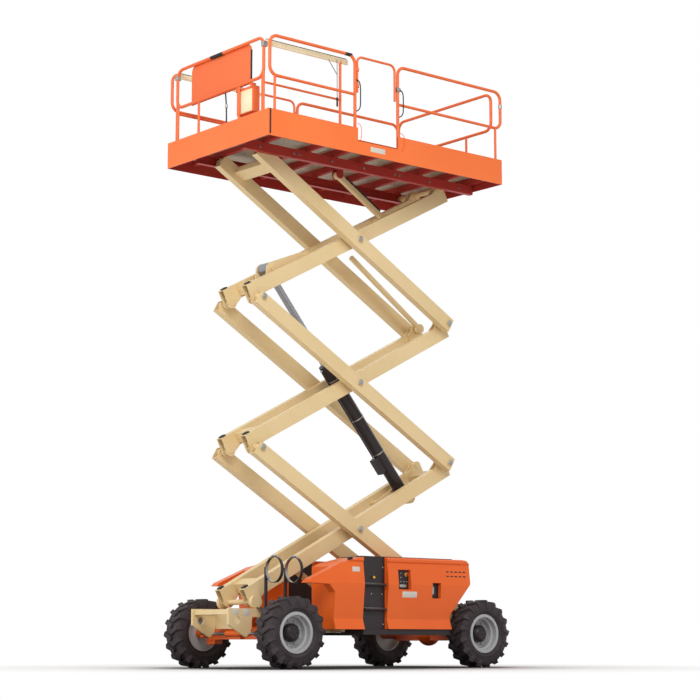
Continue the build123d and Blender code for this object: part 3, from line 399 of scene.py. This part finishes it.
bands = bmesh.new()
for along in cylinder["bandsAt"]:
    addTurned(bands, cylinder["band"], stand(onCylinder(along, 0), cylinder["along"]), turnSides["band"])
for along, front, axis in cylinder["unionsAt"]:
    addTurned(bands, cylinder["union"], stand(onCylinder(along, front), cylinder[axis]), turnSides["hexagon"])
addPiece("barrelBands", bands, zincSteel, "lift_barrel")
pipe = bmesh.new()
addBar(pipe, [onCylinder(*spot) for spot in cylinder["pipe"]], cylinder["pipeRadius"])
addPiece("barrelPipe", pipe, blackEnamel, "lift_barrel")
print("bands and pipe on the lift cylinder")

# gas bottle cradle: steel liners in the rings, over-centre clasps, gas line down the post
cradle = {"centres": ((1.525, 0.660, 1.148), (1.235, 0.660, 1.148)),
          "liner": [(143.5, -17), (146.5, -17), (146.5, 17), (143.5, 17), (143.5, -17)],
          "claspLow": (-0.014, -0.045, 0.153), "claspHigh": (0.014, 0.030, 0.168), "claspEdge": 4 * mm,
          "line": [(1.262, 0.575, 1.025), (1.262, 0.535, 0.985), (1.262, 0.519, 0.93), (1.262, 0.519, 0.76),
                   (1.262, 0.50, 0.703)], "lineRadius": 9 * mm}
liners = bmesh.new()
for centre in cradle["centres"]:
    addTurned(liners, cradle["liner"], stand(centre, (1, 0, 0)), turnSides["hub"])
    claspLow, claspHigh = (Vector(centre) + Vector(cradle[corner]) for corner in ("claspLow", "claspHigh"))
    addBlock(liners, claspLow, claspHigh, cradle["claspEdge"])
addPiece("cradleLiners", liners, zincSteel, "chassis")
gasLine = bmesh.new()
addBar(gasLine, cradle["line"], cradle["lineRadius"])
addPiece("gasLine", gasLine, moulding, "chassis")

# filler cap on the front cover
filler = {"place": (0.556, 0.880, 1.276), "axis": (0.22, 0, 0.97),
          "profile": [(0, 36), (26, 36), (31, 32), (31, 15), (39, 12), (39, -6)]}
cap = bmesh.new()
addTurned(cap, filler["profile"], stand(filler["place"], filler["axis"]))
addPiece("fillerCap", cap, moulding, "chassis")

# ladders: bright steel strips along the rungs as a painted highlight of their top edges, screws and a yellow
# lock knob
ladder = {"face": 0.895, "rear": 0.062, "front": 0.368,
          "rungs": (0.712, 1.006), "half": 5 * mm, "edge": 2 * mm,
          "screw": [(0, 6), (6, 6), (9, 3), (9, -1)],
          "screwsAt": ((0.060, 1.20), (0.372, 1.20), (0.060, 0.52), (0.372, 0.52), (0.243, 0.882),
                       (0.077, 0.881)),
          "knob": [(0, 30), (12, 30), (17, 26), (17, 17), (8, 13), (8, -1)], "knobAt": (0.216, 1.078)}
fittings = bmesh.new()
knobs = bmesh.new()
for side in (1, -1):
    for rung in ladder["rungs"]:
        # painted highlight: a bright strip along each rung
        rungHighlight = ((ladder["rear"], ladder["face"] - ladder["half"], rung - ladder["half"]),
                    (ladder["front"], ladder["face"] + ladder["half"], rung + ladder["half"]))
        addSideBlock(fittings, rungHighlight, side, ladder["edge"])
    for x, z in ladder["screwsAt"]:
        addTurned(fittings, ladder["screw"], facingOut(x, ladder["face"], z, side), turnSides["screw"])
    x, z = ladder["knobAt"]
    addTurned(knobs, ladder["knob"], facingOut(x, ladder["face"], z, side))
addPiece("ladderScrewsAndHighlights", fittings, zincSteel, "chassis")
addPiece("ladderKnobs", knobs, yellowMoulding, "chassis")

# rubber seals along the tops of the covers
topSeal = {"corners": ((-1.08, 0.800, 1.318), (0.392, 0.893, 1.332)), "edge": 3 * mm}
seals = bmesh.new()
for side in (1, -1):
    addSideBlock(seals, topSeal["corners"], side, topSeal["edge"])
addPiece("topSeals", seals, moulding, "chassis")

# doors: latch cups with steel paddles
latch = {"cup": ((-0.826, 0.9095, 0.844), (-0.694, 0.915, 1.026)),
         "paddle": ((-0.742, 0.9145, 0.892), (-0.698, 0.930, 0.984)), "edge": 2.5 * mm}
for sideName, side in (("left", 1), ("right", -1)):
    for name, corners, material, slot in (("latchCup", latch["cup"], moulding, "black_paint"),
                                          ("latchPaddle", latch["paddle"], zincSteel, "deck_steel")):
        detail = bmesh.new()
        addSideBlock(detail, corners, side, latch["edge"])
        addPiece(f"{name}_{sideName}", detail, material, f"door_{sideName}")

# stop switch: yellow collar and red mushroom button
stopSwitch = {"Collar": [(0, 9), (19, 9), (25, 6), (25, -1)],
              "Button": [(0, 27), (14, 26), (20, 21), (19, 16), (10, 14), (10, 8)]}


def addStop(prefix, place, body):
    for part, material, slot in (("Collar", yellowMoulding, "orange_paint"),
                                 ("Button", redMoulding, "dark_red_paint")):
        detail = bmesh.new()
        addTurned(detail, stopSwitch[part], place)
        addPiece(f"{prefix}{part}", detail, material, body)


# ground control panel on the left door
toggle = [(0, 20), (4, 20), (5, 6), (9, 5), (9, -1)]
panel = {"plate": ((-0.334, 0.9095, 0.946), (-0.146, 0.917, 1.174)), "plateEdge": 2.5 * mm, "face": 0.917,
         "meter": ((-0.30, 0.916, 0.968), (-0.19, 0.921, 1.002)), "meterEdge": 2 * mm,
         "stopAt": (-0.296, 1.122),
         "switchesAt": ((-0.205, 1.135), (-0.205, 1.085), (-0.205, 1.035), (-0.252, 1.035), (-0.296, 1.035))}
plate = bmesh.new()
addBlock(plate, *panel["plate"], panel["plateEdge"])
addPiece("controlPanel", plate, moulding, "door_left")
addStop("stop", facingOut(panel["stopAt"][0], panel["face"], panel["stopAt"][1]), "door_left")
switches = bmesh.new()
for x, z in panel["switchesAt"]:
    addTurned(switches, toggle, facingOut(x, panel["face"], z), turnSides["switch"])
addBlock(switches, *panel["meter"], panel["meterEdge"])
addPiece("panelSwitches", switches, zincSteel, "door_left")
print("fittings on the covers, ladders and doors")

# the covers' sides lean in above and below their belt line
sidePanel = {"beltZ": 1.0, "beltY": 0.965, "tuckZ": 0.585, "tuckY": 0.925, "leanZ": 1.258, "leanY": 0.935,
             "edge": 1 * mm}


def addCoverPlate(shape, x, z, size, thickness):
    if z < sidePanel["beltZ"]:
        slope = (sidePanel["beltY"] - sidePanel["tuckY"]) / (sidePanel["beltZ"] - sidePanel["tuckZ"])
    else:
        slope = (sidePanel["leanY"] - sidePanel["beltY"]) / (sidePanel["leanZ"] - sidePanel["beltZ"])
    y = sidePanel["beltY"] + slope * (z - sidePanel["beltZ"])
    half = Vector((size[0] / 2, thickness, size[1] / 2))
    addBlock(shape, Vector((x, y, z)) - half, Vector((x, y, z)) + half, sidePanel["edge"],
             Matrix.Rotation(-atan2(slope, 1), 4, "X"))


# bare plates on the door, front cover, nose and skirt
barePlates = {"door": (-0.320, 0.881, (0.235, 0.072)), "cover": (0.521, 1.168, (0.115, 0.058)),
              "thickness": 1.5 * mm, "edge": 0.8 * mm,
              "nose": (((1.826, 0.3775, 0.625), (1.912, 0.3795, 0.690)),
                       ((1.668, 0.3775, 0.615), (1.760, 0.3795, 0.690))),
              "skirt": ((0.138, 1.0515, 6.275), (0.375, 1.0535, 6.338))}
doorPlate = bmesh.new()
addCoverPlate(doorPlate, *barePlates["door"], barePlates["thickness"])
addPiece("doorPlate", doorPlate, plateSheet, "door_left")
chassisPlates = bmesh.new()
addCoverPlate(chassisPlates, *barePlates["cover"], barePlates["thickness"])
for low, high in barePlates["nose"]:
    addBlock(chassisPlates, low, high, barePlates["edge"])
addPiece("chassisPlates", chassisPlates, plateSheet, "chassis")
skirtPlate = bmesh.new()
addBlock(skirtPlate, *barePlates["skirt"], barePlates["edge"])
addPiece("skirtPlate", skirtPlate, plateSheet, "platform")

# two rows of air slots at the door's rear
airSlots = {"rows": (1.170, 1.115), "columns": (-0.95, -1.02, -1.09, -1.16, -1.23), "size": (0.044, 0.016),
            "thickness": 1.2 * mm}
slots = bmesh.new()
for z in airSlots["rows"]:
    for x in airSlots["columns"]:
        addCoverPlate(slots, x, z, airSlots["size"], airSlots["thickness"])
addPiece("airSlots", slots, moulding, "door_left")
print("plates and air slots on the covers")

# platform: clip on the top rail, grab handles at the gate, trim on the front corners
railFittings = {"clip": [(20.2, 0), (22.2, 2), (22.2, 106), (20.2, 108), (20.2, 0)],
                "clipAt": (0.651, 1.020, 7.4584),
                "trim": ((1.914, 1.0510, 6.236), (1.9345, 1.0550, 6.540)), "trimEdge": 1.5 * mm,
                "handleRadius": 7.5 * mm,
                "handles": ([(0.590, 1.036, 7.155), (0.545, 1.060, 7.145), (0.541, 1.060, 6.95),
                             (0.545, 1.060, 6.765), (0.590, 1.036, 6.755)],
                            [(-0.108, 1.036, 7.16), (-0.155, 1.060, 7.15), (-0.160, 1.060, 6.98),
                             (-0.155, 1.060, 6.815), (-0.108, 1.036, 6.805)])}
blackParts = bmesh.new()
addTurned(blackParts, railFittings["clip"], stand(railFittings["clipAt"], (1, 0, 0)))
for points in railFittings["handles"]:
    addBar(blackParts, points, railFittings["handleRadius"])
for side in (1, -1):
    addSideBlock(blackParts, railFittings["trim"], side, railFittings["trimEdge"])
addPiece("railFittings", blackParts, moulding, "platform")

# bent wire guards at the foot of both gate posts
wireGuard = {"radius": 4 * mm,
             "lines": ([(0.582, 1.050, 6.602), (0.530, 1.058, 6.59), (0.522, 1.058, 6.49),
                        (0.530, 1.058, 6.39), (0.565, 1.056, 6.375)],
                       [(-0.118, 1.050, 6.596), (-0.172, 1.058, 6.58), (-0.180, 1.058, 6.49),
                        (-0.172, 1.058, 6.385), (-0.135, 1.056, 6.37)])}
wires = bmesh.new()
for points in wireGuard["lines"]:
    addBar(wires, points, wireGuard["radius"])
addPiece("wireGuards", wires, railEnamel, "platform")

# gate catch, and clamps round the rear rail corners
clamp = {"catch": ((-0.128, 1.002, 7.130), (-0.070, 1.046, 7.185)), "catchEdge": 4 * mm,
         "corner": [(20.2, 0), (25, 3), (25, 47), (20.2, 50), (20.2, 0)],
         "inset": 20 * mm, "y": 1.020, "z": 7.245}
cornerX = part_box("rail_left")[0][0] + clamp["inset"]
clamps = bmesh.new()
addBlock(clamps, *clamp["catch"], clamp["catchEdge"])
for side in (1, -1):
    addTurned(clamps, clamp["corner"], stand((cornerX, side * clamp["y"], clamp["z"]), (0, 0, 1)))
addPiece("railClamps", clamps, zincSteel, "platform")

# bolts along the roller channels under the deck
channelBolt = {"profile": [(0, 9), (11, 9), (13, 7), (13, 2), (19, 2), (19, -1)], "face": 0.507, "z": 6.235,
               "places": (-1.62, -1.10, -0.58, -0.50, 0.02, 0.54, 1.06, 1.14, 1.66)}
bolts = bmesh.new()
for side in (1, -1):
    for x in channelBolt["places"]:
        addTurned(bolts, channelBolt["profile"], facingOut(x, channelBolt["face"], channelBolt["z"], side),
                  turnSides["screw"])
addPiece("channelBolts", bolts, zincSteel, "platform")

# roll-out deck: cream slide covers with a black strip along each top as a painted shadow, and a latch, and
# pull rods with grips
slide = {"cover": ((0.62, 0.8885, 7.365), (1.885, 0.9115, 7.432)), "coverEdge": 4 * mm,
         "shadowStrip": ((0.64, 0.890, 7.431), (1.880, 0.910, 7.441)), "shadowStripEdge": 2 * mm,
         "latch": ((1.878, 0.880, 7.335), (1.944, 0.928, 7.402)), "latchEdge": 5 * mm}
pullRod = {"lines": ([(0.800, 0.918, 7.39), (0.797, 0.918, 6.915)],
                     [(0.935, 0.917, 7.37), (0.800, 0.917, 7.205)]),
           "radius": 6 * mm, "gripAt": (0.797, 0.918, 6.80),
           "grip": [(0, 0), (9, 0), (11.5, 3), (11.5, 112), (9, 115), (0, 115)]}
slideCovers = bmesh.new()
rods = bmesh.new()
grips = bmesh.new()
latches = bmesh.new()
for side in (1, -1):
    addSideBlock(slideCovers, slide["cover"], side, slide["coverEdge"])
    addSideBlock(latches, slide["latch"], side, slide["latchEdge"])
    # painted shadow: a black strip along the top of each slide cover
    addSideBlock(grips, slide["shadowStrip"], side, slide["shadowStripEdge"])
    for points in pullRod["lines"]:
        addBar(rods, [(x, side * y, z) for x, y, z in points], pullRod["radius"])
    x, y, z = pullRod["gripAt"]
    addTurned(grips, pullRod["grip"], stand((x, side * y, z), (0, 0, 1)), turnSides["grip"])
addPiece("slideCovers", slideCovers, creamMoulding, "extension")
addPiece("pullRods", rods, zincSteel, "extension")

# ribbed grip on the front top rail, in mm along the tube
railGrip = {"place": (1.916, -0.180, 7.4584), "bore": 20.2, "valley": 21.9, "crest": 22.3, "length": 255,
            "first": 4, "pitch": 8.2, "ribs": 31}
ribs = [(railGrip["valley"] if rib % 2 else railGrip["crest"], railGrip["first"] + railGrip["pitch"] * rib)
        for rib in range(railGrip["ribs"])]
boreStart = (railGrip["bore"], 0)
boreEnd = (railGrip["bore"], railGrip["length"])
addTurned(grips, [boreStart, *ribs, boreEnd, boreStart], stand(railGrip["place"], (0, 1, 0)))

# edging on the guard plate
guardEdge = {"corners": ((1.879, 0.612, 6.99), (1.899, 0.628, 7.375)), "edge": 4 * mm}
addBlock(grips, *guardEdge["corners"], guardEdge["edge"])

# stiff conduit from the guard plate to the deck, with a steel joint
conduit = {"line": [(1.884, 0.085, 6.962), (1.884, 0.10, 6.86), (1.884, 0.112, 6.70), (1.884, 0.112, 6.39)],
           "radius": 9 * mm, "joint": [(0, 0), (13, 0), (16, 4), (16, 46), (13, 50), (0, 50)],
           "jointAt": (1.884, 0.107, 6.76), "jointAxis": (0, 0.03, 1)}
addBar(grips, conduit["line"], conduit["radius"])
addTurned(latches, conduit["joint"], stand(conduit["jointAt"], conduit["jointAxis"]))
addPiece("slideLatches", latches, zincSteel, "extension")

# platform controls: cream front, black panel with a lever in its boot, toggles and a stop switch
controls = {"front": ((1.8955, 0.362, 6.612), (1.8995, 0.648, 6.888)), "frontEdge": 1.5 * mm,
            "panel": ((1.794, 0.352, 6.612), (1.802, 0.658, 6.910)), "panelEdge": 3 * mm, "face": 1.794,
            "boot": [(0, 52), (9, 50), (12, 30), (24, 12), (32, 6), (32, -1)],
            "stick": [(0, 128), (10, 126), (15, 118), (15, 84), (11, 52), (0, 46)], "leverAt": (0.430, 6.80),
            "stopAt": (0.590, 6.83),
            "togglesAt": ((0.500, 6.72), (0.545, 6.72), (0.590, 6.72), (0.520, 6.83))}


def onControls(y, z):
    return stand((controls["face"], y, z), (-1, 0, 0))


addBlock(grips, *controls["panel"], controls["panelEdge"])
for profile in (controls["boot"], controls["stick"]):
    addTurned(grips, profile, onControls(*controls["leverAt"]))
addPiece("gripsAndControls", grips, moulding, "extension")
boxFront = bmesh.new()
addBlock(boxFront, *controls["front"], controls["frontEdge"])
addPiece("controlBoxFront", boxFront, creamMoulding, "extension")
toggles = bmesh.new()
for spot in controls["togglesAt"]:
    addTurned(toggles, toggle, onControls(*spot), turnSides["switch"])
addPiece("controlToggles", toggles, zincSteel, "extension")
addStop("platformStop", onControls(*controls["stopAt"]), "extension")

# cable tied along the platform's centring link: places are shares of the link's length
linkCable = {"radius": 11 * mm, "rise": 35 * mm, "pointsAt": (0.12, 0.3, 0.6, 0.88),
             "tiesAt": (0.25, 0.5, 0.75),
             "tie": [(11, -7), (13.5, -7), (13.5, 7), (11, 7), (11, -7)]}
linkStart = Vector(joints["link_fold"]["pos_m"])
linkEnd = Vector(joints["platform_level"]["pos_m"])
linkAlong = (linkEnd - linkStart).normalized()
linkUp = Vector((-linkAlong.z, 0, linkAlong.x))
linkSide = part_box("platform_link")[1][1] + linkCable["radius"]


def onLink(share):
    return linkStart.lerp(linkEnd, share) + linkUp * linkCable["rise"] + Vector((0, linkSide, 0))


cable = bmesh.new()
addBar(cable, [onLink(share) for share in linkCable["pointsAt"]], linkCable["radius"])
for share in linkCable["tiesAt"]:
    addTurned(cable, linkCable["tie"], stand(onLink(share), linkAlong))
addPiece("linkCable", cable, moulding, "platform_link")
print("fittings on the platform and the roll-out deck")

# camera where the photograph was taken: low, off the steered end's left corner, looking up a little
photoCamera = {"place": (14.953, 18.19, 0.277), "yaw": -129.74, "pitch": 8.91, "lens": 96.76, "sensor": 36.0,
               "reach": 500.0}


def makeCamera(view):
    data = bpy.data.cameras.new("photoCamera")
    data.lens = view["lens"]
    data.sensor_width = view["sensor"]
    data.clip_end = view["reach"]
    camera = bpy.data.objects.new("photoCamera", data)
    yaw, pitch = radians(view["yaw"]), radians(view["pitch"])
    look = Vector((cos(yaw) * cos(pitch), sin(yaw) * cos(pitch), sin(pitch)))
    camera.location = view["place"]
    camera.rotation_mode = "QUATERNION"
    camera.rotation_quaternion = look.to_track_quat("-Z", "Y")
    bpy.context.scene.collection.objects.link(camera)
    bpy.context.scene.camera = camera


makeCamera(photoCamera)

# studio: a pale floor that keeps the shadow and has a painted shadow under the machine, a white surround,
# three wide soft lamps
studio = {"floorHalf": 120.0, "floorTone": "#F2F0EE", "lift": 0.03, "clearFrom": 2.6, "clearTo": 5.5,
          "paintedShadowTone": "#1A1818", "paintedShadowReach": 2.4, "paintedShadowDark": 0.58, "paintedShadowOpen": 0.99,
          "surroundTone": "#F4F5F8", "surround": 0.62, "lampAim": (0, 0, 3.2)}
lamps = [
    # name, place, size, power
    ("keyLamp", (9.0, 13.0, 13.0), 9.0, 1500.0),
    ("fillLamp", (16.0, -3.0, 7.0), 9.0, 600.0),
    ("backLamp", (-12.0, -9.0, 11.0), 9.0, 500.0),
]


def straightRays(tree):
    path = addNode(tree, "ShaderNodeLightPath")
    seen = path.outputs["Is Camera Ray"]
    for other in ("Is Glossy Ray", "Is Transmission Ray"):
        either = addNode(tree, "ShaderNodeMath", {"operation": "MAXIMUM"}, {0: seen, 1: path.outputs[other]})
        seen = either.outputs["Value"]
    return seen


# lit paper under the machine with a painted shadow, turning to plain white further out
def makeFloor(settings):
    mesh = bpy.data.meshes.new("studioFloor")
    shape = bmesh.new()
    bmesh.ops.create_grid(shape, x_segments=1, y_segments=1, size=settings["floorHalf"])
    shape.to_mesh(mesh)
    shape.free()
    floor = bpy.data.objects.new("studioFloor", mesh)
    bpy.context.scene.collection.objects.link(floor)
    material, tree, coords = newMaterial("studioPaper")
    # painted shadow: the floor's colour turns dark where it is closed in under the machine
    paintedShadow = addNode(tree, "ShaderNodeAmbientOcclusion", {"samples": 8, "Distance": settings["paintedShadowReach"]})
    openness = addNode(tree, "ShaderNodeMapRange",
                       {"From Min": settings["paintedShadowDark"], "From Max": settings["paintedShadowOpen"]},
                       {"Value": paintedShadow.outputs["AO"]})
    shade = addNode(tree, "ShaderNodeMix", {"data_type": "RGBA", 6: srgb(settings["paintedShadowTone"]),
                                            7: srgb(settings["floorTone"])},
                    {0: openness.outputs["Result"]})
    paper = addNode(tree, "ShaderNodeBsdfDiffuse", None, {"Color": shade.outputs[2]})
    glow = addNode(tree, "ShaderNodeEmission", {"Strength": settings["lift"]})
    lit = addNode(tree, "ShaderNodeAddShader", None, {0: paper.outputs["BSDF"], 1: glow.outputs["Emission"]})
    white = addNode(tree, "ShaderNodeEmission", {"Strength": 1.0})
    distance = addNode(tree, "ShaderNodeVectorMath", {"operation": "LENGTH"}, {0: coords})
    clear = addNode(tree, "ShaderNodeMapRange",
                    {"From Min": settings["clearFrom"], "From Max": settings["clearTo"]},
                    {"Value": distance.outputs["Value"]})
    shown = addNode(tree, "ShaderNodeMixShader", None,
                    {0: clear.outputs["Result"], 1: lit.outputs["Shader"], 2: white.outputs["Emission"]})
    seen = addNode(tree, "ShaderNodeMixShader", None,
                   {0: straightRays(tree), 1: paper.outputs["BSDF"], 2: shown.outputs["Shader"]})
    addNode(tree, "ShaderNodeOutputMaterial", None, {"Surface": seen.outputs["Shader"]})
    mesh.materials.append(material)


def makeWorld(settings):
    world = bpy.data.worlds.new("studioSurround")
    world.use_nodes = True
    tree = world.node_tree
    tree.nodes.clear()
    soft = addNode(tree, "ShaderNodeBackground",
                   {"Color": srgb(settings["surroundTone"]), "Strength": settings["surround"]})
    white = addNode(tree, "ShaderNodeBackground", {"Color": (1, 1, 1, 1), "Strength": 1.0})
    mixed = addNode(tree, "ShaderNodeMixShader", None,
                    {0: straightRays(tree), 1: soft.outputs["Background"], 2: white.outputs["Background"]})
    addNode(tree, "ShaderNodeOutputWorld", None, {"Surface": mixed.outputs["Shader"]})
    bpy.context.scene.world = world


def makeLamp(name, place, size, power):
    data = bpy.data.lights.new(name, "AREA")
    data.size = size
    data.energy = power
    lamp = bpy.data.objects.new(name, data)
    lamp.location = place
    lamp.rotation_mode = "QUATERNION"
    lamp.rotation_quaternion = (Vector(studio["lampAim"]) - Vector(place)).to_track_quat("-Z", "Y")
    bpy.context.scene.collection.objects.link(lamp)


makeFloor(studio)
makeWorld(studio)
for name, place, size, power in lamps:
    makeLamp(name, place, size, power)
bpy.context.scene.view_settings.view_transform = "Standard"
print("camera, floor and lamps set")
